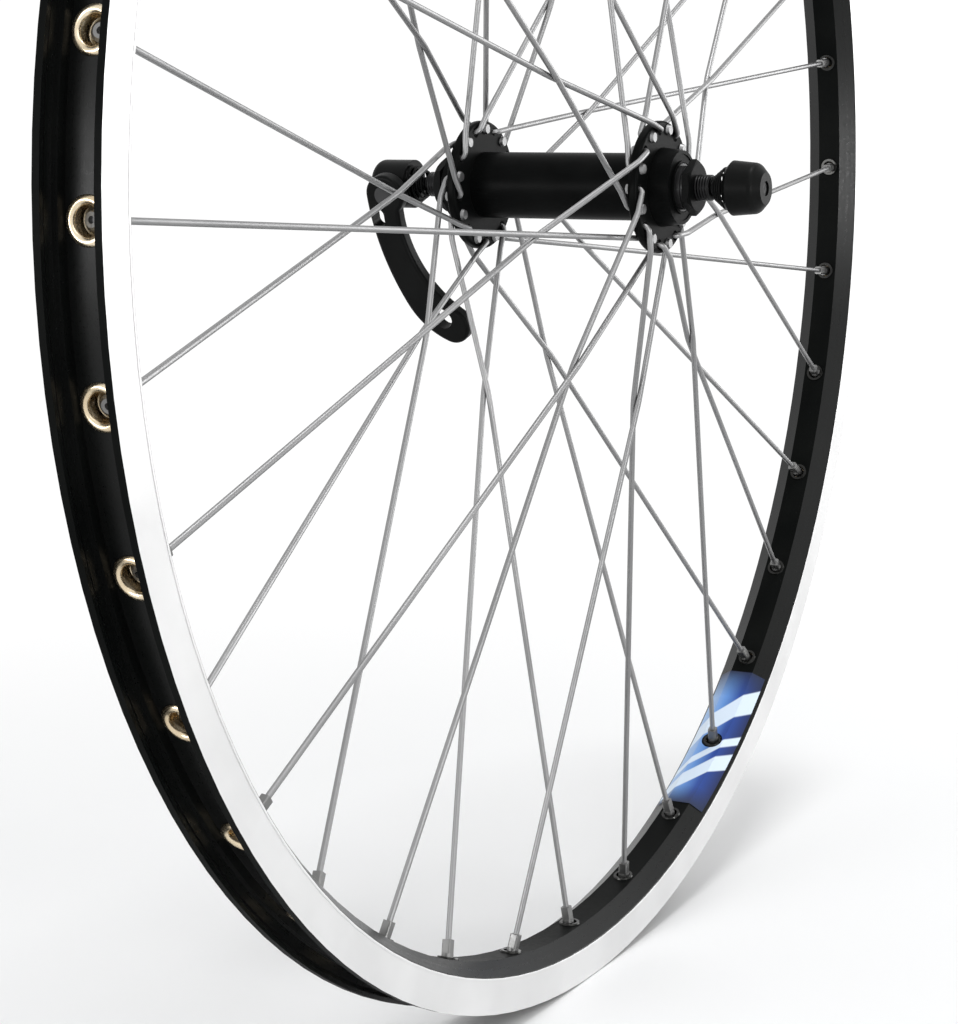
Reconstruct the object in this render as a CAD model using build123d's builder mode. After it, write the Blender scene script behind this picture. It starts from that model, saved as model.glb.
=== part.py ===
from build123d import *
import math
import os

# Front bicycle wheel for rim brakes with a quick release, without tyre, in millimetres
# The wheel axis is Y, +Z is up, and the origin is midway between the two locknut faces

# Wheel and lacing
spoke_count = 36
crosses = 3
valve_angle = 85.5
bead_seat_dia = 559.0

# Rim section
bead_depth = 6.0
rim_width = 22.0
rim_height = 16.8
track_height = 11.2
track_cut = 0.15
band_height = 0.9
inner_flat = 9.6
side_wall = 1.6
bed_wall = 1.4
spoke_wall = 1.9
hook_reach = 0.9
hook_height = 2.9
ledge_width = 1.7
ledge_slope = 0.3
well_depth = 2.7
slant_round = 1.0
edge_round = 0.5

# Eyelet sockets, one in each spoke hole
eyelet_flange_r = 6.8
eyelet_crown = 0.9
eyelet_seat_gap = 0.08
socket_r = 4.6
socket_wall = 0.5
neck_r = 3.1
neck_bore_r = 2.6
nipple_hole_r = 2.3
floor_t = 0.9
lip_r = 3.8
lip_t = 0.5
press_gap = 0.1
valve_hole_dia = 8.5

# Spokes and nipples
spoke_dia = 2.0
spoke_gap = 0.12
spoke_head_r = 2.0
spoke_head_t = 1.1
elbow_r = 2.0
flange_bend_r = 12.0
cross_bend_r = 60.0
spoke_past_seat = 2.2
nipple_head_r = 3.0
nipple_head_h = 2.6
nipple_dome_h = 0.8
nipple_dome_r = 2.1
nipple_shank_r = 2.0
nipple_collar = 4.4
nipple_flats = 3.3
nipple_length = 9.0
nipple_bore_gap = 0.03
nipple_lift = 0.45

# Hub shell
flange_offset = 35.0
flange_dia = 46.0
flange_t = 3.6
spoke_circle_dia = 40.0
flange_hole_r = 1.3
flange_hole_chamfer = 0.6
flange_round = 1.2
flange_blend = 3.0
barrel_dia = 23.6
barrel_bore_dia = 17.0
hub_end = 44.0
hub_end_dia = 25.6
hub_boss_dia = 27.6

# Bearings
ball_dia = 4.7625
balls_per_side = 10
ball_circle_r = 8.3
ball_plane = 39.8
race_gap = 0.05
cup_r = 11.6
cup_fit = 0.01
cup_bore_r = 6.6
cup_floor = 1.2
cup_rim = 2.8
cap_gap = 0.3
cap_t = 0.9
cap_lip_t = 0.6
cap_lip_h = 1.6

# Axle, cones and locknuts
over_locknut = 100.0
axle_dia = 9.0
axle_bore_dia = 5.2
axle_stub = 5.5
thread_fit = 0.02
locknut_t = 2.8
locknut_flats = 17.0
locknut_face_r = 8.2
locknut_bevel = 0.9
lock_washer_t = 1.0
lock_washer_r = 7.8
cone_nose = 2.3
cone_flats = 15.0
cone_flat_length = 2.0

# Quick release
rod_dia = 5.0
rod_fit = 0.05
nut_face = 61.6
nut_r = 9.5
nut_waist_r = 8.7
nut_end_r = 5.6
nut_length = 13.2
nut_taper_length = 10.4
nut_shoulder = 2.8
nut_lead_in = 1.6
rod_end_recess = 0.6
head_face = 62.3
head_r = 8.8
head_length = 14.7
head_round = 3.2
head_wall = 1.8
lever_swivel = 18.0
pivot_setback = 5.7
cam_throw = 1.0
cam_r = 2.6
cam_half = 2.8
cam_gap = 0.3
journal_fit = 0.06
eye_half = 2.0
eye_wall = 1.3
cavity_gap = 0.35
head_flat = 8.0
side_gap = 0.3
lever_t = 5.5
lever_boss_r = 7.6
lever_edge = 1.4
lever_reach = 56.5
lever_hook = 17.0
lever_width = 13.0
neck_round = 2.0
tip_hole_l = 8.4
tip_hole_w = 6.6
root_hole_l = 7.4
root_hole_w = 5.0
root_hole_rim = 1.3
cap_nut_r = 4.4
cap_nut_h = 3.2
spring_wire = 0.9
spring_small_r = 3.7
spring_large_r = 7.3
spring_turns = 3.25
spring_gap = 0.3

# Worked out from the sizes above
pitch = 360 / spoke_count
lead = crosses * 2 * pitch
outer_half = rim_width / 2
track_half = outer_half - track_cut
bead_seat_r = bead_seat_dia / 2
rim_outer_r = bead_seat_r + bead_depth
track_edge_r = rim_outer_r - track_height
slant_r = track_edge_r - band_height
rim_inner_r = rim_outer_r - rim_height
channel_half = outer_half - side_wall
hook_half = channel_half - hook_reach
ledge_half = channel_half - ledge_width
ledge_r = bead_seat_r - ledge_slope
well_r = bead_seat_r - well_depth
well_half = min(eyelet_flange_r + 2 * press_gap, ledge_half - 0.6)
chamber_floor_r = rim_inner_r + spoke_wall
seat_r = chamber_floor_r + floor_t
spoke_circle_r = spoke_circle_dia / 2
spoke_r = spoke_dia / 2
flange_in = flange_offset - flange_t / 2
flange_out = flange_offset + flange_t / 2
groove_r = ball_dia / 2 + race_gap
cup_bottom = ball_plane - groove_r - cup_floor
cup_top = ball_plane + cup_rim
locknut_face = over_locknut / 2
washer_face = locknut_face - locknut_t
cone_face = washer_face - lock_washer_t
axle_r = axle_dia / 2
axle_end = locknut_face + axle_stub
rod_r = rod_dia / 2
pivot_y = head_face + pivot_setback
journal_r = cam_r + cam_throw + 0.1
eye_slot_r = cam_r + cam_gap
eye_r = eye_slot_r + cam_throw + eye_wall
eye_y = pivot_y + cam_throw
cavity_r = math.hypot(eye_r, eye_half) + cavity_gap
cavity_end = eye_y + eye_r + cavity_gap
head_end = max(head_face + head_length, cavity_end + head_wall)
boss_in = head_flat + side_gap
boss_out = boss_in + lever_t

os.makedirs("parts", exist_ok=True)


def polar(radius, angle, along=0.0):
    """A point at a radius and an angle in degrees about the wheel axis."""
    turn = math.radians(angle)
    return Vector(radius * math.cos(turn), along, radius * math.sin(turn))


def radial_plane(angle, radius=0.0):
    """A plane that faces straight out from the wheel axis at an angle."""
    return Plane(origin=polar(radius, angle), x_dir=(0, 1, 0), z_dir=polar(1, angle))


def save(part, name):
    """Names a finished part and writes it to its own file."""
    part.label = name
    export_step(part, f"parts/{name}.step")


hole_angles = [valve_angle + pitch / 2 - pitch * n for n in range(spoke_count)]

# Rim, a hollow double-wall section turned about the wheel axis
with BuildPart() as rim:
    with BuildSketch(Plane.XY) as rim_section:
        with BuildLine():
            Polyline(
                (well_r, 0),
                (well_r, well_half),
                (ledge_r, ledge_half),
                (bead_seat_r, channel_half),
                (rim_outer_r - hook_height, channel_half),
                (rim_outer_r - hook_height / 2, hook_half),
                (rim_outer_r, hook_half),
                (rim_outer_r, track_half),
                (track_edge_r, track_half),
                (track_edge_r, outer_half),
                (slant_r, outer_half),
                (rim_inner_r, inner_flat / 2),
                (rim_inner_r, 0),
            )
            mirror(about=Plane.XZ)
        make_face()
        shoulders = [v for v in rim_section.vertices() if abs(v.X - slant_r) < 0.01]
        hook_tips = [v for v in rim_section.vertices() if abs(v.X - rim_outer_r) < 0.01]
        fillet(shoulders, slant_round)
        fillet(hook_tips, edge_round)
        with BuildLine():
            Polyline(
                (chamber_floor_r, 0),
                (chamber_floor_r, inner_flat / 2 - edge_round),
                (slant_r + spoke_wall / 2, channel_half),
                (ledge_r - bed_wall, channel_half),
                (ledge_r - bed_wall, ledge_half),
                (well_r - bed_wall, well_half),
                (well_r - bed_wall, 0),
            )
            mirror(about=Plane.XZ)
        make_face(mode=Mode.SUBTRACT)
    revolve(axis=Axis.Y)
    for angle in hole_angles:
        with BuildSketch(radial_plane(angle, rim_inner_r - 1)):
            Circle(neck_r + press_gap)
        extrude(amount=spoke_wall + 2, mode=Mode.SUBTRACT)
        with BuildSketch(radial_plane(angle, well_r - bed_wall - 1)):
            Circle(socket_r + press_gap)
        extrude(amount=bed_wall + 2, mode=Mode.SUBTRACT)
    with BuildSketch(radial_plane(valve_angle, rim_inner_r - 1)):
        Circle(valve_hole_dia / 2)
    extrude(amount=rim_height, mode=Mode.SUBTRACT)
save(rim.part, "rim")

# Eyelet socket, turned about its own axis, which stands on the wheel axis
with BuildPart() as eyelet:
    with BuildSketch(Plane.XZ):
        with BuildLine():
            bed_top = well_r + eyelet_seat_gap
            cup_low = seat_r + 0.9 * (socket_r - socket_wall - nipple_hole_r)
            mouth_r = socket_r - socket_wall
            crown = ((mouth_r + eyelet_flange_r) / 2, bed_top + eyelet_crown)
            ThreePointArc((mouth_r, bed_top), crown, (eyelet_flange_r, bed_top))
            Polyline(
                (eyelet_flange_r, bed_top),
                (socket_r, bed_top),
                (socket_r, cup_low - socket_wall / 2),
                (neck_r + socket_wall, chamber_floor_r + press_gap),
                (neck_r, chamber_floor_r + press_gap),
                (neck_r, rim_inner_r - press_gap),
                (lip_r, rim_inner_r - press_gap),
                (lip_r - lip_t / 2, rim_inner_r - press_gap - lip_t),
                (neck_bore_r, rim_inner_r - press_gap - lip_t),
                (neck_bore_r, seat_r - floor_t),
                (nipple_hole_r, seat_r - floor_t),
                (nipple_hole_r, seat_r),
                (mouth_r, cup_low),
                (mouth_r, bed_top),
            )
        make_face()
    revolve(axis=Axis.Z)

with BuildPart() as eyelets:
    with Locations(*[radial_plane(angle).location for angle in hole_angles]):
        add(eyelet.part)
save(eyelets.part, "eyelets")


def spoke_route(n):
    """The corners of spoke n: head, elbow, flange edge, last crossing, nipple seat, end."""
    rim_angle = hole_angles[n]
    side = 1 if n % 2 == 0 else -1
    ahead = 1 if n % 4 in (0, 3) else -1
    outboard = -ahead
    hub_angle = rim_angle + ahead * lead
    run_y = flange_offset + outboard * (flange_t / 2 + spoke_r + spoke_gap)
    head_y = flange_offset - outboard * (flange_t / 2 + spoke_gap)
    hole = polar(spoke_circle_r, hub_angle)
    seat = polar(seat_r, rim_angle)
    ray = polar(1, rim_angle + ahead * pitch)
    reach = hole.X * ray.Z - hole.Z * ray.X
    share = reach / (reach - (seat.X * ray.Z - seat.Z * ray.X))
    crossing = hole + (seat - hole) * share
    along = (seat - hole).normalized()
    slope = hole.dot(along)
    edge_r = flange_dia / 2 + spoke_dia
    edge = hole + along * (math.sqrt(slope**2 + edge_r**2 - spoke_circle_r**2) - slope)
    cross_y = flange_offset * (1 - share) - outboard * (spoke_r + spoke_gap / 2)
    head = Vector(hole.X, side * head_y, hole.Z)
    elbow = Vector(hole.X, side * run_y, hole.Z)
    edge = Vector(edge.X, side * run_y, edge.Z)
    crossing = Vector(crossing.X, side * cross_y, crossing.Z)
    end = seat + (seat - crossing).normalized() * spoke_past_seat
    return head, elbow, edge, crossing, seat, end


# Spokes, each with a flat head, an elbow in the flange and a set at its last crossing
for n in range(spoke_count):
    head, elbow, edge, crossing, seat, end = spoke_route(n)
    bends = [elbow_r, flange_bend_r, cross_bend_r]
    with BuildPart() as spoke:
        with BuildLine() as run:
            FilletPolyline(head, elbow, edge, crossing, end, radius=bends)
        with BuildSketch(Plane(origin=head, z_dir=elbow - head)):
            Circle(spoke_r)
        sweep()
        with BuildSketch(Plane(origin=head, z_dir=head - elbow)):
            Circle(spoke_head_r)
        extrude(amount=spoke_head_t, taper=20)
    save(spoke.part, f"spoke_{n + 1:02d}")

# Nipple, with its conical seat at the origin and its square shank below
with BuildPart() as nipple:
    with BuildSketch(Plane.XZ):
        with BuildLine():
            head_low = nipple_lift + nipple_head_r - nipple_shank_r
            Polyline(
                (0, nipple_head_h + nipple_dome_h),
                (nipple_dome_r, nipple_head_h + nipple_dome_h),
                (nipple_head_r, nipple_head_h),
                (nipple_head_r, head_low),
                (nipple_shank_r, nipple_lift),
                (nipple_shank_r, -nipple_collar),
                (0, -nipple_collar),
                close=True,
            )
        make_face()
    revolve(axis=Axis.Z)
    with BuildSketch(Plane.XY.offset(-nipple_length)):
        RectangleRounded(nipple_flats, nipple_flats, nipple_flats / 5)
    extrude(amount=nipple_length - nipple_collar)
    with BuildSketch(Plane.XY.offset(-nipple_length)):
        Circle(spoke_r + nipple_bore_gap)
    extrude(amount=2 * nipple_length, mode=Mode.SUBTRACT)

nipple_places = []
for n in range(spoke_count):
    head, elbow, edge, crossing, seat, end = spoke_route(n)
    nipple_places.append(Plane(origin=seat, x_dir=(0, 1, 0), z_dir=end - seat).location)
with BuildPart() as nipples:
    with Locations(*nipple_places):
        add(nipple.part)
save(nipples.part, "nipples")

# Hub shell, turned from one piece, with two drilled flanges
with BuildPart() as hub_shell:
    with BuildSketch(Plane.XY) as shell_section:
        with BuildLine():
            Polyline(
                (barrel_bore_dia / 2, 0),
                (barrel_bore_dia / 2, cup_bottom),
                (cup_r, cup_bottom),
                (cup_r, hub_end),
                (hub_end_dia / 2, hub_end),
                (hub_boss_dia / 2, flange_out),
                (flange_dia / 2, flange_out),
                (flange_dia / 2, flange_in),
                (barrel_dia / 2, flange_in),
                (barrel_dia / 2, 0),
            )
            mirror(about=Plane.XZ)
        make_face()
        flange_rims = [v for v in shell_section.vertices() if abs(v.X - flange_dia / 2) < 0.01]
        flange_roots = [
            v
            for v in shell_section.vertices()
            if abs(v.X - barrel_dia / 2) < 0.01 and abs(abs(v.Y) - flange_in) < 0.01
        ]
        fillet(flange_rims, flange_round)
        fillet(flange_roots, flange_blend)
    revolve(axis=Axis.Y)
    for n in range(spoke_count):
        head, elbow, edge, crossing, seat, end = spoke_route(n)
        side = 1 if head.Y > 0 else -1
        for face, inward in ((flange_out, -side), (flange_in, side)):
            mouth = Plane(origin=(head.X, side * face, head.Z), z_dir=(0, inward, 0))
            with BuildSketch(mouth):
                Circle(flange_hole_r + flange_hole_chamfer)
            extrude(amount=flange_hole_chamfer, taper=45, mode=Mode.SUBTRACT)
        with BuildSketch(Plane(origin=(head.X, side * flange_in, head.Z), z_dir=(0, side, 0))):
            Circle(flange_hole_r)
        extrude(amount=flange_t, mode=Mode.SUBTRACT)
save(hub_shell.part, "hub_shell")


def turned(name, outline):
    """Turns a closed outline of radius and place on the axle about the wheel axis."""
    with BuildPart() as piece:
        with BuildSketch(Plane.XY):
            with BuildLine():
                Polyline(*outline, close=True)
            make_face()
        revolve(axis=Axis.Y)
    save(piece.part, name)


# Bearings, cones and locknuts, the same on both sides
for side, word in ((1, "left"), (-1, "right")):
    groove = (ball_circle_r, side * ball_plane)
    with BuildPart() as cup:
        with BuildSketch(Plane.XY):
            with BuildLine():
                Polyline(
                    (ball_circle_r, side * (ball_plane - groove_r)),
                    (cup_bore_r, side * (ball_plane - groove_r)),
                    (cup_bore_r, side * cup_bottom),
                    (cup_r - cup_fit, side * cup_bottom),
                    (cup_r - cup_fit, side * cup_top),
                    (ball_circle_r + groove_r, side * cup_top),
                    (ball_circle_r + groove_r, side * ball_plane),
                )
                RadiusArc(
                    (ball_circle_r + groove_r, side * ball_plane),
                    (ball_circle_r, side * (ball_plane - groove_r)),
                    groove_r * side,
                )
            make_face()
        revolve(axis=Axis.Y)
    save(cup.part, f"bearing_cup_{word}")

    with BuildPart() as balls:
        with Locations(
            *[
                polar(ball_circle_r, step * 360 / balls_per_side, side * ball_plane)
                for step in range(balls_per_side)
            ]
        ):
            Sphere(ball_dia / 2)
    save(balls.part, f"balls_{word}")

    with BuildPart() as cone:
        with BuildSketch(Plane.XY):
            with BuildLine():
                Polyline(
                    (ball_circle_r, side * (ball_plane + groove_r)),
                    (ball_circle_r, side * cone_face),
                    (axle_r + thread_fit, side * cone_face),
                    (axle_r + thread_fit, side * (ball_plane - cone_nose)),
                    (ball_circle_r - groove_r, side * (ball_plane - cone_nose)),
                    (ball_circle_r - groove_r, side * ball_plane),
                )
                RadiusArc(
                    (ball_circle_r - groove_r, side * ball_plane),
                    (ball_circle_r, side * (ball_plane + groove_r)),
                    groove_r * side,
                )
            make_face()
        revolve(axis=Axis.Y)
        with BuildSketch(Plane(origin=(0, side * cone_face, 0), z_dir=(0, -side, 0))):
            Circle(2 * ball_circle_r)
            Rectangle(cone_flats, 4 * ball_circle_r, mode=Mode.SUBTRACT)
        extrude(amount=cone_flat_length, mode=Mode.SUBTRACT)
    save(cone.part, f"cone_{word}")

    cap_bore_r = ball_circle_r + cap_gap
    cap_face = cup_top + press_gap
    turned(
        f"dust_cap_{word}",
        [
            (cap_bore_r, side * cap_face),
            (cup_r - cup_fit, side * cap_face),
            (cup_r - cup_fit, side * (cap_face + cap_t)),
            (cap_bore_r + cap_lip_t, side * (cap_face + cap_t)),
            (cap_bore_r + cap_lip_t, side * (cap_face + cap_lip_h)),
            (cap_bore_r, side * (cap_face + cap_lip_h)),
        ],
    )

    with BuildPart() as locknut:
        with BuildSketch(Plane(origin=(0, side * washer_face, 0), z_dir=(0, side, 0))):
            RegularPolygon(locknut_flats / 2, 6, major_radius=False)
            Circle(axle_r + thread_fit, mode=Mode.SUBTRACT)
        extrude(amount=locknut_t)
        with BuildSketch(Plane.XY):
            with BuildLine():
                Polyline(
                    (axle_r + thread_fit, side * washer_face),
                    (locknut_flats, side * washer_face),
                    (locknut_flats, side * (locknut_face - locknut_bevel)),
                    (locknut_flats / math.sqrt(3), side * (locknut_face - locknut_bevel)),
                    (locknut_face_r, side * locknut_face),
                    (axle_r + thread_fit, side * locknut_face),
                    close=True,
                )
            make_face()
        revolve(axis=Axis.Y, mode=Mode.INTERSECT)
    save(locknut.part, f"locknut_{word}")

# Lock washers between the cones and the locknuts
with BuildPart() as lock_washers:
    for side in (1, -1):
        with BuildSketch(Plane(origin=(0, side * cone_face, 0), z_dir=(0, side, 0))):
            Circle(lock_washer_r)
            Circle(axle_r + thread_fit, mode=Mode.SUBTRACT)
        extrude(amount=lock_washer_t)
save(lock_washers.part, "lock_washers")

# Axle, a hollow bolt
with BuildPart() as axle:
    with BuildSketch(Plane.XZ.offset(-axle_end)):
        Circle(axle_r)
        Circle(axle_bore_dia / 2, mode=Mode.SUBTRACT)
    extrude(amount=2 * axle_end)
    chamfer(axle.edges().filter_by(GeomType.CIRCLE).group_by(SortBy.RADIUS)[-1], edge_round)
save(axle.part, "axle")

# Quick release, turned about the wheel axis by the lever's swivel
swivel = math.radians(lever_swivel)
lever_plane = Plane(
    origin=(0, 0, 0),
    x_dir=(math.sin(swivel), 0, -math.cos(swivel)),
    z_dir=(math.cos(swivel), 0, math.sin(swivel)),
)

# Skewer head, a cup that holds the cam across its wall
with BuildPart() as skewer_head:
    with BuildSketch(Plane.XY) as head_section:
        with BuildLine():
            Polyline(
                (cavity_r, head_face),
                (head_r, head_face),
                (head_r, head_end),
                (0, head_end),
                (0, cavity_end),
                (cavity_r, cavity_end),
                close=True,
            )
        make_face()
        outer_corner = head_section.vertices().sort_by(lambda v: v.X + v.Y)[-1]
        fillet(outer_corner, head_round)
    revolve(axis=Axis.Y)
    with BuildSketch(lever_plane):
        with Locations((0, pivot_y)):
            Circle(journal_r + journal_fit)
    extrude(amount=head_r, both=True, mode=Mode.SUBTRACT)
    for side in (1, -1):
        with BuildSketch(lever_plane.offset(side * head_flat)):
            with Locations((0, pivot_y)):
                Rectangle(4 * head_r, 4 * head_length)
        extrude(amount=side * head_r, mode=Mode.SUBTRACT)
save(skewer_head.part, "skewer_head")

# Skewer rod, with a slotted eye that the cam turns in
with BuildPart() as skewer_rod:
    nut_end = nut_face + nut_length
    rod_length = nut_end - rod_end_recess + eye_y - eye_r + eye_wall
    with BuildSketch(Plane(origin=(0, rod_end_recess - nut_end, 0), z_dir=(0, 1, 0))):
        Circle(rod_r)
    extrude(amount=rod_length)
    with BuildSketch(lever_plane):
        with Locations((0, eye_y)):
            Circle(eye_r)
    extrude(amount=eye_half, both=True)
    with BuildSketch(lever_plane):
        with Locations((0, eye_y)):
            SlotCenterToCenter(2 * cam_throw, 2 * eye_slot_r)
    extrude(amount=head_r, both=True, mode=Mode.SUBTRACT)
save(skewer_rod.part, "skewer_rod")

# Cam shaft, with an eccentric between its two journals
with BuildPart() as cam_shaft:
    with BuildSketch(lever_plane.offset(-boss_out)):
        with Locations((0, pivot_y)):
            Circle(journal_r)
    extrude(amount=boss_out - cam_half)
    with BuildSketch(lever_plane.offset(-cam_half)):
        with Locations((0, eye_y)):
            Circle(cam_r)
    extrude(amount=2 * cam_half)
    with BuildSketch(lever_plane.offset(cam_half)):
        with Locations((0, pivot_y)):
            Circle(journal_r)
    extrude(amount=boss_in - cam_half)
save(cam_shaft.part, "cam_shaft")

# Cap nut on the free end of the cam shaft
with BuildPart() as cap_nut:
    with BuildSketch(lever_plane.offset(boss_in)):
        with Locations((0, pivot_y)):
            Circle(cap_nut_r)
    extrude(amount=cap_nut_h)
    fillet(cap_nut.edges().sort_by(Axis(lever_plane.origin, lever_plane.z_dir))[-1], cap_nut_h / 2)
save(cap_nut.part, "lever_cap_nut")

# Lever, a flat curved arm beside the head, with a finger hole near its tip
with BuildPart() as lever:
    with BuildSketch(lever_plane.offset(-boss_out)) as lever_outline:
        with BuildLine():
            back = pivot_y + lever_boss_r
            tip_y = pivot_y - lever_hook
            neck_y = pivot_y - 0.63 * lever_boss_r
            arm_end = (0.75 * lever_reach, back - 0.4 * (back - tip_y))
            tip_end = (lever_reach - 0.87 * lever_width, tip_y - 0.5 * lever_width)
            Line((0, pivot_y), (0, back))
            arm = TangentArc((0, back), arm_end, tangent=(1, 0))
            bend = TangentArc(arm @ 1, (lever_reach, tip_y), tangent=arm % 1)
            tip = TangentArc(bend @ 1, tip_end, tangent=bend % 1)
            under = TangentArc(tip @ 1, (1.3 * lever_boss_r, neck_y), tangent=tip % 1)
            Polyline(under @ 1, (0.4 * lever_boss_r, neck_y), (0, pivot_y))
        make_face()
        with Locations((0, pivot_y)):
            Circle(lever_boss_r)
        neck = lever_outline.vertices().sort_by_distance((lever_boss_r, neck_y))[0]
        fillet(neck, neck_round)
    extrude(amount=lever_t)
    flats = lever.faces().filter_by(Axis(lever_plane.origin, lever_plane.z_dir))
    fillet(flats.edges(), lever_edge)
    with BuildSketch(lever_plane.offset(-boss_out)):
        with Locations((0, pivot_y)):
            Circle(journal_r + thread_fit)
        root_d = journal_r + root_hole_rim + root_hole_l / 2
        root_y = back - lever_edge - root_hole_w / 2
        with Locations((root_d, root_y)):
            SlotOverall(root_hole_l, root_hole_w)
        tip_d = lever_reach - 0.72 * lever_width
        with Locations(Location((tip_d, tip_y + 0.08 * lever_width), -46)):
            SlotOverall(tip_hole_l, tip_hole_w)
    extrude(amount=lever_t, mode=Mode.SUBTRACT)
save(lever.part, "lever")

# Skewer nut, tapered towards its outer end
with BuildPart() as skewer_nut:
    with BuildSketch(Plane.XY) as nut_section:
        with BuildLine():
            Polyline(
                (rod_r + rod_fit, -nut_face),
                (nut_r - nut_lead_in, -nut_face),
                (nut_r, -nut_face - nut_lead_in),
                (nut_waist_r, -nut_face - nut_taper_length),
                (nut_end_r, -nut_end),
                (rod_r + rod_fit, -nut_end),
                close=True,
            )
        make_face()
        shoulder = [v for v in nut_section.vertices() if abs(v.X - nut_waist_r) < 0.01]
        fillet(shoulder, nut_shoulder)
    revolve(axis=Axis.Y)
save(skewer_nut.part, "skewer_nut")

# Conical springs between the axle ends and the two clamping faces
for side, word, face in ((1, "left", head_face), (-1, "right", nut_face)):
    coil_height = face - axle_end - spring_wire - 2 * spring_gap
    coil_start = axle_end + spring_gap + spring_wire / 2
    spread = math.degrees(math.atan2(spring_large_r - spring_small_r, coil_height))
    with BuildPart() as spring:
        with BuildLine() as coil:
            Helix(
                pitch=coil_height / spring_turns,
                height=coil_height,
                radius=spring_small_r,
                center=(0, side * coil_start, 0),
                direction=(0, side, 0),
                cone_angle=spread,
            )
        with BuildSketch(Plane(origin=coil.line @ 0, z_dir=coil.line % 0)):
            Circle(spring_wire / 2)
        sweep()
    save(spring.part, f"spring_{word}")
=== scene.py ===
import bmesh
import bpy
import math
from collections import namedtuple
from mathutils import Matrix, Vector


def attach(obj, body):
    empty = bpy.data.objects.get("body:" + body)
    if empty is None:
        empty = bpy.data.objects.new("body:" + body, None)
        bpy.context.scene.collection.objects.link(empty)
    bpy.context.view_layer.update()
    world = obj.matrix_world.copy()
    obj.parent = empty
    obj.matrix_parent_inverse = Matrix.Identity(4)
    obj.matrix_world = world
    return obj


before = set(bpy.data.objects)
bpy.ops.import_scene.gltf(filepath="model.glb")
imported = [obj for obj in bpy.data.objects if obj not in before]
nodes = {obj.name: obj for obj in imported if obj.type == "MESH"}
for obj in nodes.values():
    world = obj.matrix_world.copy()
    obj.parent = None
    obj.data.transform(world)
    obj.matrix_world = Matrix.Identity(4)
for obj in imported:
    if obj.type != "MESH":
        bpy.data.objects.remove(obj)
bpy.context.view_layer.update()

# Section of the rim, in metres: radii about the axle, then half widths along it
RIM_OUT = 0.2855
RIM_IN = 0.2687
SLANT_R = 0.2734
TRACK_EDGE = 0.2743
WELL_R = 0.2768
RIM_HALF = 0.0110
FLAT_HALF = 0.0048
TRACK_HALF = 0.01085

# Thread of the axle and the rod
AXLE_PITCH = 0.001


def polar(radius, angle, along=0.0):
    """A point at a radius and an angle in degrees about the wheel axis."""
    turn = math.radians(angle)
    return Vector((radius * math.cos(turn), along, radius * math.sin(turn)))


# Node helpers for the materials
Place = namedtuple("Place", "coord x y z radius")


def new_material(name):
    material = bpy.data.materials.new(name)
    material.use_nodes = True
    tree = material.node_tree
    return material, tree, tree.nodes["Principled BSDF"]


def math_node(tree, operation, first, second=None):
    made = tree.nodes.new("ShaderNodeMath")
    made.operation = operation
    for slot, value in zip(made.inputs, (first, second)):
        if isinstance(value, (int, float)):
            slot.default_value = value
        elif value is not None:
            tree.links.new(value, slot)
    return made.outputs[0]


def distance(tree, first, second):
    """How far a point is from the origin, by two of its coordinates."""
    squares = [math_node(tree, "POWER", value, 2.0) for value in (first, second)]
    return math_node(tree, "SQRT", math_node(tree, "ADD", *squares))


def ramp(tree, source, *stops):
    made = tree.nodes.new("ShaderNodeValToRGB")
    while len(made.color_ramp.elements) < len(stops):
        made.color_ramp.elements.new(0.5)
    for element, (position, colour) in zip(made.color_ramp.elements, stops):
        element.position = position
        if isinstance(colour, (int, float)):
            colour = (colour, colour, colour)
        element.color = (*colour, 1)
    tree.links.new(source, made.inputs[0])
    return made.outputs[0]


def span(tree, source, low, high, to_low=0.0, to_high=1.0):
    made = tree.nodes.new("ShaderNodeMapRange")
    tree.links.new(source, made.inputs["Value"])
    made.inputs["From Min"].default_value = low
    made.inputs["From Max"].default_value = high
    made.inputs["To Min"].default_value = to_low
    made.inputs["To Max"].default_value = to_high
    return made.outputs["Result"]


def mix_colour(tree, factor, first, second):
    made = tree.nodes.new("ShaderNodeMix")
    made.data_type = "RGBA"
    tree.links.new(factor, made.inputs["Factor"])
    for socket, value in (("A", first), ("B", second)):
        if isinstance(value, tuple):
            made.inputs[socket].default_value = (*value, 1)
        else:
            tree.links.new(value, made.inputs[socket])
    return made.outputs["Result"]


def place(tree):
    """Object coordinates, and from them x, y, z and the radius about the wheel axis."""
    coord = tree.nodes.new("ShaderNodeTexCoord").outputs["Object"]
    split = tree.nodes.new("ShaderNodeSeparateXYZ")
    tree.links.new(coord, split.inputs[0])
    x, y, z = split.outputs
    return Place(coord, x, y, z, distance(tree, x, z))


def noise(tree, coord, scale, detail=4.0, roughness=0.5):
    made = tree.nodes.new("ShaderNodeTexNoise")
    made.inputs["Scale"].default_value = scale
    made.inputs["Detail"].default_value = detail
    made.inputs["Roughness"].default_value = roughness
    tree.links.new(coord, made.inputs["Vector"])
    return made.outputs["Fac"]


def rings(tree, point, scale, detail=3.0):
    """Fine lines round the wheel axis, along a turned or extruded section."""
    made = tree.nodes.new("ShaderNodeTexNoise")
    made.noise_dimensions = "1D"
    made.inputs["Scale"].default_value = scale
    made.inputs["Detail"].default_value = detail
    tree.links.new(math_node(tree, "ADD", point.y, point.radius), made.inputs["W"])
    return made.outputs["Fac"]


def bump(tree, shader, height, strength, depth):
    """Adds bump to the shader, on top of any that it has. The depth is in metres."""
    made = tree.nodes.new("ShaderNodeBump")
    made.inputs["Strength"].default_value = strength
    made.inputs["Distance"].default_value = depth
    tree.links.new(height, made.inputs["Height"])
    if shader.inputs["Normal"].links:
        tree.links.new(shader.inputs["Normal"].links[0].from_socket, made.inputs["Normal"])
    tree.links.new(made.outputs[0], shader.inputs["Normal"])


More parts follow.
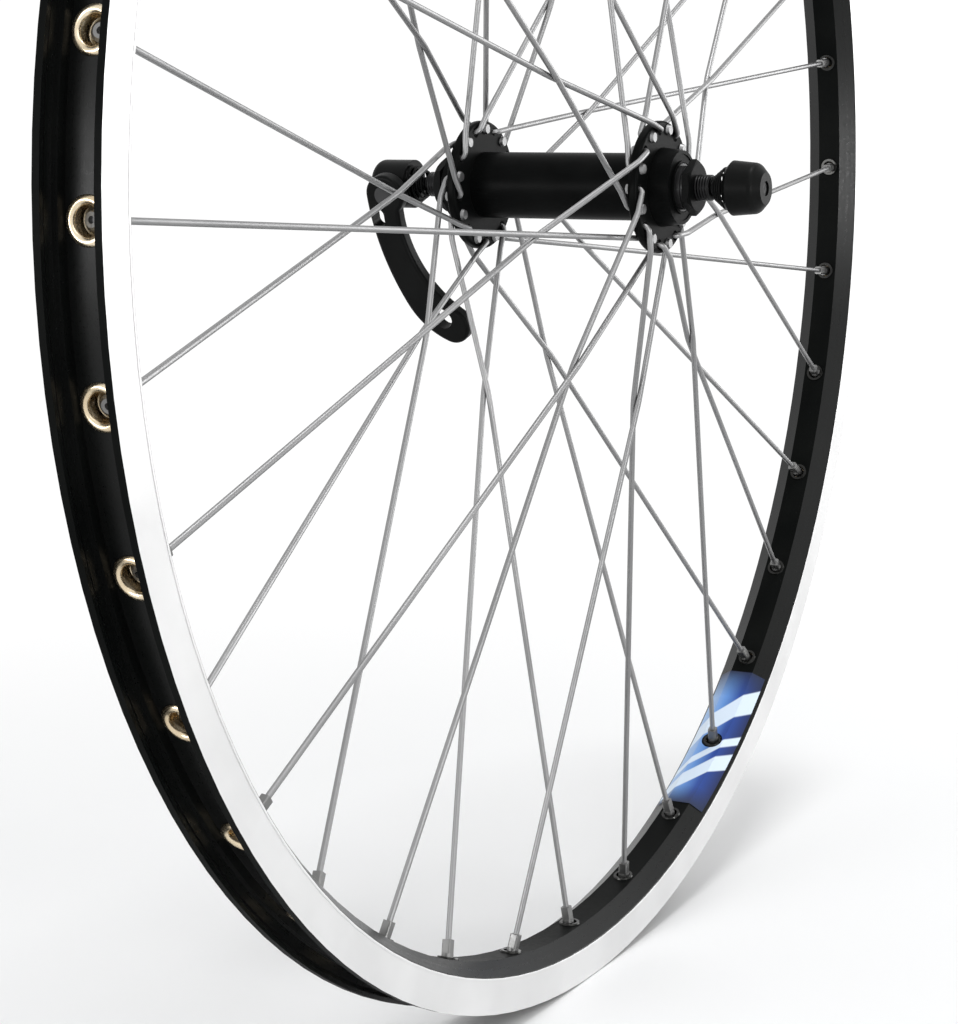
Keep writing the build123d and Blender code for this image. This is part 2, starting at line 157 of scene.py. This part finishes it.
# Materials: colours and roughness run between two values, over this stretch of the noise
NOISE_LOW, NOISE_HIGH = 0.3, 0.7
BLUR_LOW, BLUR_HIGH = 0.35, 0.65
GRAIN_DEPTH = 0.00002


def black_metal(name, low, high, rough, gloss, grain):
    """Black anodised metal, a little mottled, with fine grain and the lines of its making."""
    cloud_size, grain_share, line_scale = 16, 0.6, 4000.0
    material, tree, shader = new_material(name)
    point = place(tree)
    fine = noise(tree, point.coord, grain, detail=5.0, roughness=0.6)
    broad = noise(tree, point.coord, grain / cloud_size, detail=3.0)
    lines = rings(tree, point, line_scale)
    blur = math_node(tree, "ADD", math_node(tree, "MULTIPLY", fine, grain_share),
                     math_node(tree, "MULTIPLY", lines, 1 - grain_share))
    tree.links.new(ramp(tree, broad, (NOISE_LOW, low), (NOISE_HIGH, high)), shader.inputs["Base Color"])
    tree.links.new(span(tree, blur, BLUR_LOW, BLUR_HIGH, *rough), shader.inputs["Roughness"])
    shader.inputs["Specular IOR Level"].default_value = gloss
    bump(tree, shader, fine, strength=0.04, depth=GRAIN_DEPTH)
    bump(tree, shader, lines, strength=0.08, depth=GRAIN_DEPTH)
    return material


def bare_metal(name, low, high, rough, grain=1500.0, strength=0.04):
    """Bare or plated metal with a slight cloudiness."""
    cloud_size = 20
    material, tree, shader = new_material(name)
    coord = place(tree).coord
    fine = noise(tree, coord, grain, detail=4.0, roughness=0.6)
    broad = noise(tree, coord, grain / cloud_size, detail=3.0)
    tree.links.new(ramp(tree, broad, (NOISE_LOW, low), (NOISE_HIGH, high)), shader.inputs["Base Color"])
    tree.links.new(span(tree, fine, NOISE_LOW, NOISE_HIGH, *rough), shader.inputs["Roughness"])
    shader.inputs["Metallic"].default_value = 1.0
    bump(tree, shader, fine, strength, GRAIN_DEPTH)
    return material


def threaded_metal(name, low, high, rough, pitch):
    """Bare metal with a screw thread about the wheel axis."""
    material = bare_metal(name, low, high, rough)
    tree = material.node_tree
    point = place(tree)
    turns = math_node(tree, "ADD", math_node(tree, "MULTIPLY", point.y, 2 * math.pi / pitch),
                      math_node(tree, "ARCTAN2", point.z, point.x))
    ridges = math_node(tree, "SINE", turns)
    bump(tree, tree.nodes["Principled BSDF"], ridges, strength=0.5, depth=0.00015)
    return material


def eyelet_metal():
    """Brass-coloured plate, with a dark lip and bore on the hub side of the rim."""
    lip_low, lip_high = RIM_IN + 0.002, RIM_IN + 0.004
    lip_colour = (0.03, 0.03, 0.029)
    material = bare_metal("eyelet_brass", low=(0.6, 0.47, 0.3), high=(0.86, 0.75, 0.56), rough=(0.2, 0.3))
    tree = material.node_tree
    shader = tree.nodes["Principled BSDF"]
    brass = shader.inputs["Base Color"].links[0].from_socket
    outward = span(tree, place(tree).radius, lip_low, lip_high)
    tree.links.new(mix_colour(tree, outward, lip_colour, brass), shader.inputs["Base Color"])
    return material


def track_metal():
    """Machined brake track, turned in fine rings and left bright."""
    tone_low, tone_high = 0.63, 0.71
    rough_low, rough_high = 0.36, 0.5
    ring_scale, cloud_scale = 9000.0, 30.0
    material, tree, shader = new_material("rim_track")
    point = place(tree)
    turned = rings(tree, point, ring_scale)
    broad = noise(tree, point.coord, cloud_scale, detail=3.0)
    tone = ramp(tree, broad, (NOISE_LOW, tone_low), (NOISE_HIGH, tone_high))
    tree.links.new(tone, shader.inputs["Base Color"])
    blur = span(tree, turned, NOISE_LOW, NOISE_HIGH, rough_low, rough_high)
    tree.links.new(blur, shader.inputs["Roughness"])
    shader.inputs["Metallic"].default_value = 0.7
    bump(tree, shader, turned, strength=0.08, depth=0.00003)
    return material


RIM_LOW, RIM_HIGH = (0.0024, 0.0028, 0.0027), (0.0046, 0.0051, 0.0048)
RIM_GRAIN = 700.0
RIM_SMOOTH = (0.26, 0.34)
STEEL_ROUGH = (0.34, 0.46)
rim_black = black_metal("rim_black", RIM_LOW, RIM_HIGH, rough=(0.36, 0.46), gloss=0.02, grain=RIM_GRAIN)
rim_slant = black_metal("rim_slant", RIM_LOW, RIM_HIGH, rough=RIM_SMOOTH, gloss=0.17, grain=RIM_GRAIN)
rim_bed = black_metal("rim_bed", RIM_LOW, RIM_HIGH, rough=RIM_SMOOTH, gloss=0.16, grain=RIM_GRAIN)
hub_black = black_metal(
    "hub_black", low=(0.0016, 0.0018, 0.0018), high=(0.0036, 0.0039, 0.0038),
    rough=(0.32, 0.42), gloss=0.03, grain=1200.0)
skewer_black = black_metal(
    "skewer_black", low=(0.0022, 0.0024, 0.0024), high=(0.004, 0.0043, 0.0042),
    rough=(0.34, 0.44), gloss=0.07, grain=1500.0)
spoke_steel = bare_metal(
    "spoke_steel", low=(0.23, 0.23, 0.232), high=(0.3, 0.3, 0.302),
    rough=(0.42, 0.5), grain=300.0, strength=0.01)
nipple_metal = bare_metal(
    "nipple_metal", low=(0.16, 0.16, 0.158), high=(0.23, 0.23, 0.227), rough=STEEL_ROUGH)
dark_steel = bare_metal("dark_steel", low=(0.03, 0.03, 0.031), high=(0.06, 0.06, 0.061), rough=STEEL_ROUGH)
thread_steel = threaded_metal(
    "thread_steel", low=(0.012, 0.012, 0.0125), high=(0.028, 0.028, 0.0285),
    rough=STEEL_ROUGH, pitch=AXLE_PITCH)
bearing_steel = bare_metal(
    "bearing_steel", low=(0.2, 0.2, 0.21), high=(0.27, 0.27, 0.28), rough=(0.1, 0.18))
eyelet_brass = eyelet_metal()
rim_track = track_metal()


# Finishes of the solids
def dress(name, *materials):
    mesh = nodes[name].data
    mesh.materials.clear()
    for material in materials:
        mesh.materials.append(material)
    return mesh


# Limits that tell the rim's faces apart: the share of a normal along the axle, then places in metres
LEANING, UPRIGHT = 0.3, 0.9
SIDE_FROM = RIM_HALF - 0.0007
SIDE_LOW = SLANT_R - 0.0003
STEP_REACH = 0.0003
BED_LOW, BED_HIGH = WELL_R - 0.001, RIM_OUT - 0.0005
BLACK, TRACK, SLANT, BED = range(4)


def rim_finish(face):
    """The finish of a face of the rim, by its place in the section."""
    aside = abs(face.center.y)
    radius = math.hypot(face.center.x, face.center.z)
    tilt = abs(face.normal.y)
    on_side = tilt > UPRIGHT and aside > SIDE_FROM and radius > SIDE_LOW
    on_step = aside > TRACK_HALF and abs(radius - TRACK_EDGE) < STEP_REACH
    if on_side or on_step:
        return TRACK
    if BED_LOW < radius < BED_HIGH:
        return BED
    return SLANT if LEANING < tilt < UPRIGHT else BLACK


for face in dress("rim", rim_black, rim_track, rim_slant, rim_bed).polygons:
    face.material_index = rim_finish(face)

finishes = {
    "eyelets": eyelet_brass, "nipples": nipple_metal, "hub_shell": hub_black, "dust_cap": hub_black,
    "locknut": hub_black, "axle": thread_steel, "skewer_rod": thread_steel, "skewer_head": skewer_black,
    "lever": skewer_black, "skewer_nut": skewer_black, "spring": skewer_black, "cam_shaft": dark_steel,
    "lever_cap_nut": dark_steel, "lock_washers": dark_steel, "cone": dark_steel,
    "bearing_cup": bearing_steel, "balls": bearing_steel,
}
for name in nodes:
    kind = name.removesuffix("_left").removesuffix("_right")
    if name.startswith("spoke_"):
        dress(name, spoke_steel)
    elif kind in finishes:
        dress(name, finishes[kind])

# Printed decal on the hub side of the rim, a blue field with plain pale bars
# Its angles about the axle, in degrees, then its reach up the slants, lift and nipple hole, in metres
DECAL_FROM, DECAL_TO, DECAL_HOLE = -51.2, -67.8, -59.5
DECAL_REACH = 0.0060
LIFT = 0.00028
CORNER_LIFT = LIFT * 0.3
HOLE_R = 0.0043
WELD = 0.000001

# Print of the decal: shares across or along the field, each with a colour or a strength
FIELD_BLUES = (
    (0.05, (0.006, 0.014, 0.07)), (0.35, (0.015, 0.06, 0.3)),
    (0.6, (0.11, 0.26, 0.6)), (0.95, (0.34, 0.5, 0.74)),
)
FIELD_ENDS = ((0.0, 1.0), (0.14, 0.0), (0.82, 0.0), (1.0, 1.0))
END_BLUE = (0.008, 0.016, 0.05)
BARS = ((0.18, 0.3), (0.37, 0.43), (0.6, 0.76))
BAR_EDGE = 0.01
BAR_PALE = (0.62, 0.72, 0.84)
BAR_SKEW = 260.0


def decal_columns():
    """Angles along the decal, each with the half width of the nipple's hole there."""
    steps, round_steps = 60, 24
    columns = []
    for i in range(steps + 1):
        angle = DECAL_FROM + (DECAL_TO - DECAL_FROM) * i / steps
        if abs(math.radians(angle - DECAL_HOLE)) * RIM_IN > HOLE_R:
            columns.append((angle, 0.0))
    for i in range(round_steps + 1):
        across = -math.cos(math.pi * i / round_steps)
        half = HOLE_R * math.sqrt(max(0.0, 1 - across * across))
        columns.append((DECAL_HOLE + math.degrees(across * HOLE_R / RIM_IN), half))
    return sorted(columns)


def decal_piece():
    """A thin skin over the rim's flat and slants, open round the nipple."""
    slope = Vector((SLANT_R - RIM_IN, RIM_HALF - FLAT_HALF)).normalized()
    side_radius = RIM_IN + slope.x * DECAL_REACH - LIFT * slope.y
    side_half = FLAT_HALF + slope.y * DECAL_REACH + LIFT * slope.x
    corner_radius, corner_half = RIM_IN - LIFT, FLAT_HALF + CORNER_LIFT
    made = bmesh.new()
    rows = []
    for angle, half in decal_columns():
        outline = [(side_radius, -side_half), (corner_radius, -corner_half), (corner_radius, -half)]
        outline += [(radius, -along) for radius, along in reversed(outline)]
        rows.append([made.verts.new(polar(radius, angle, along)) for radius, along in outline])
    slant_and_flat_strips = (0, 1, 3, 4)
    for first, second in zip(rows, rows[1:]):
        for k in slant_and_flat_strips:
            made.faces.new((first[k], second[k], second[k + 1], first[k + 1]))
    bmesh.ops.remove_doubles(made, verts=made.verts, dist=WELD)
    bmesh.ops.recalc_face_normals(made, faces=made.faces)
    mesh = bpy.data.meshes.new("rim_decal")
    made.to_mesh(mesh)
    made.free()
    piece = bpy.data.objects.new("rim_decal", mesh)
    bpy.context.collection.objects.link(piece)
    return piece


def bar_stops():
    """Stops of a ramp that is 1 on the pale bars and 0 between them."""
    stops = [(0.0, 0.0)]
    for start, end in BARS:
        stops += [(start, 0.0), (start + BAR_EDGE, 1.0), (end, 1.0), (end + BAR_EDGE, 0.0)]
    return stops


def decal_material():
    """Printed film: a field from dark to light blue, darker at its ends, with slanted bars."""
    material, tree, shader = new_material("decal_print")
    point = place(tree)
    angle = math_node(tree, "MULTIPLY", math_node(tree, "ARCTAN2", point.z, point.x), 180 / math.pi)
    blue = ramp(tree, span(tree, point.y, -RIM_HALF, RIM_HALF), *FIELD_BLUES)
    ends = ramp(tree, span(tree, angle, DECAL_TO, DECAL_FROM), *FIELD_ENDS)
    field = mix_colour(tree, ends, blue, END_BLUE)
    skewed = math_node(tree, "ADD", angle, math_node(tree, "MULTIPLY", point.y, BAR_SKEW))
    bars = ramp(tree, span(tree, skewed, DECAL_TO, DECAL_FROM), *bar_stops())
    tree.links.new(mix_colour(tree, bars, field, BAR_PALE), shader.inputs["Base Color"])
    grain = noise(tree, point.coord, scale=1800.0, detail=2.0)
    blur = span(tree, grain, NOISE_LOW, NOISE_HIGH, to_low=0.3, to_high=0.42)
    tree.links.new(blur, shader.inputs["Roughness"])
    shader.inputs["Specular IOR Level"].default_value = 0.3
    bump(tree, shader, grain, strength=0.03, depth=GRAIN_DEPTH)
    return material


decal = decal_piece()
decal.data.materials.append(decal_material())
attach(decal, "wheel")

# Floor and white backdrop: the floor fades to plain white between two distances, in metres
FLOOR_Z = -RIM_OUT - 0.0002
FLOOR_HALF = 6.0
FLOOR_COLOUR = (0.85, 0.855, 0.86, 1)
FADE_FROM, FADE_TO = 0.3, 0.8
WHITE_SEEN = 1.05
WORLD_LIGHT = 0.55


def seen_directly(tree):
    """1 for what the camera sees, also in metal or glass, and 0 for the light on the object."""
    path = tree.nodes.new("ShaderNodeLightPath").outputs
    mirrored = math_node(tree, "MAXIMUM", path["Is Glossy Ray"], path["Is Transmission Ray"])
    return math_node(tree, "MAXIMUM", path["Is Camera Ray"], mirrored)


def floor_material():
    material, tree, shader = new_material("floor")
    shader.inputs["Base Color"].default_value = FLOOR_COLOUR
    shader.inputs["Roughness"].default_value = 0.9
    shader.inputs["Specular IOR Level"].default_value = 0.1
    point = place(tree)
    fade = span(tree, distance(tree, point.x, point.y), FADE_FROM, FADE_TO)
    glow = tree.nodes.new("ShaderNodeEmission")
    glow.inputs["Strength"].default_value = WHITE_SEEN
    blend = tree.nodes.new("ShaderNodeMixShader")
    tree.links.new(math_node(tree, "MULTIPLY", fade, seen_directly(tree)), blend.inputs["Fac"])
    tree.links.new(shader.outputs[0], blend.inputs[1])
    tree.links.new(glow.outputs[0], blend.inputs[2])
    tree.links.new(blend.outputs[0], tree.nodes["Material Output"].inputs["Surface"])
    return material


corners = [(-1, -1), (1, -1), (1, 1), (-1, 1)]
floor_mesh = bpy.data.meshes.new("floor")
floor_mesh.from_pydata([(FLOOR_HALF * x, FLOOR_HALF * y, FLOOR_Z) for x, y in corners], [], [(0, 1, 2, 3)])
floor_mesh.materials.append(floor_material())
floor = bpy.data.objects.new("floor", floor_mesh)
bpy.context.collection.objects.link(floor)

world = bpy.data.worlds.new("world")
bpy.context.scene.world = world
world.use_nodes = True
world_tree = world.node_tree
background = world_tree.nodes["Background"]
background.inputs["Color"].default_value = (1, 1, 1, 1)
world_strength = span(world_tree, seen_directly(world_tree), 0.0, 1.0, WORLD_LIGHT, WHITE_SEEN)
world_tree.links.new(world_strength, background.inputs["Strength"])


# Lights: places and sizes in metres, power in watts
def area_light(name, spot, target, width, height, power):
    light = bpy.data.lights.new(name, "AREA")
    light.shape = "ELLIPSE"
    light.size = width
    light.size_y = height
    light.energy = power
    made = bpy.data.objects.new(name, light)
    bpy.context.collection.objects.link(made)
    made.location = spot
    made.rotation_euler = (Vector(target) - Vector(spot)).to_track_quat("-Z", "Y").to_euler()


HUB = (0, 0, 0)
area_light("key", spot=(-1.6, -2.2, 2.4), target=HUB, width=3.2, height=3.2, power=25)
area_light("top", spot=(0.1, -0.4, 2.6), target=HUB, width=0.8, height=0.8, power=29)
area_light("card", spot=(1.7, -1.3, 0.45), target=(0, 0, 0.05), width=1.3, height=1.3, power=20)
# Low panels that the tyre bed at the left and the slanted side at the right reflect
area_light("bed_panel", spot=(-1.87, 0.85, -0.02), target=(-0.28, 0, 0), width=1.3, height=0.5, power=14)
area_light("slant_panel", spot=(-1.18, -2.0, -0.05), target=(0.27, 0, 0), width=0.45, height=0.45, power=14)

# Camera fitted to the photograph: lens and sensor in millimetres, shift in shares of the frame
LENS, SENSOR = 85.29, 36.0
SHIFT_X, SHIFT_Y = -0.0394, -0.1472
CLIP_NEAR, CLIP_FAR = 0.05, 50.0
CAMERA_SPOT = (-0.77306, -0.37714, 0.02245)
YAW, PITCH = math.radians(62.842), math.radians(-5.630)

camera_data = bpy.data.cameras.new("camera")
camera_data.sensor_width = SENSOR
camera_data.sensor_fit = "AUTO"
camera_data.lens = LENS
camera_data.shift_x = SHIFT_X
camera_data.shift_y = SHIFT_Y
camera_data.clip_start = CLIP_NEAR
camera_data.clip_end = CLIP_FAR
camera = bpy.data.objects.new("camera", camera_data)
bpy.context.collection.objects.link(camera)
bpy.context.scene.camera = camera
camera.location = CAMERA_SPOT
forward = Vector((math.sin(YAW) * math.cos(PITCH), math.cos(YAW) * math.cos(PITCH), math.sin(PITCH)))
camera.rotation_euler = forward.to_track_quat("-Z", "Y").to_euler()

bpy.context.scene.view_settings.view_transform = "Standard"
bpy.context.view_layer.update()
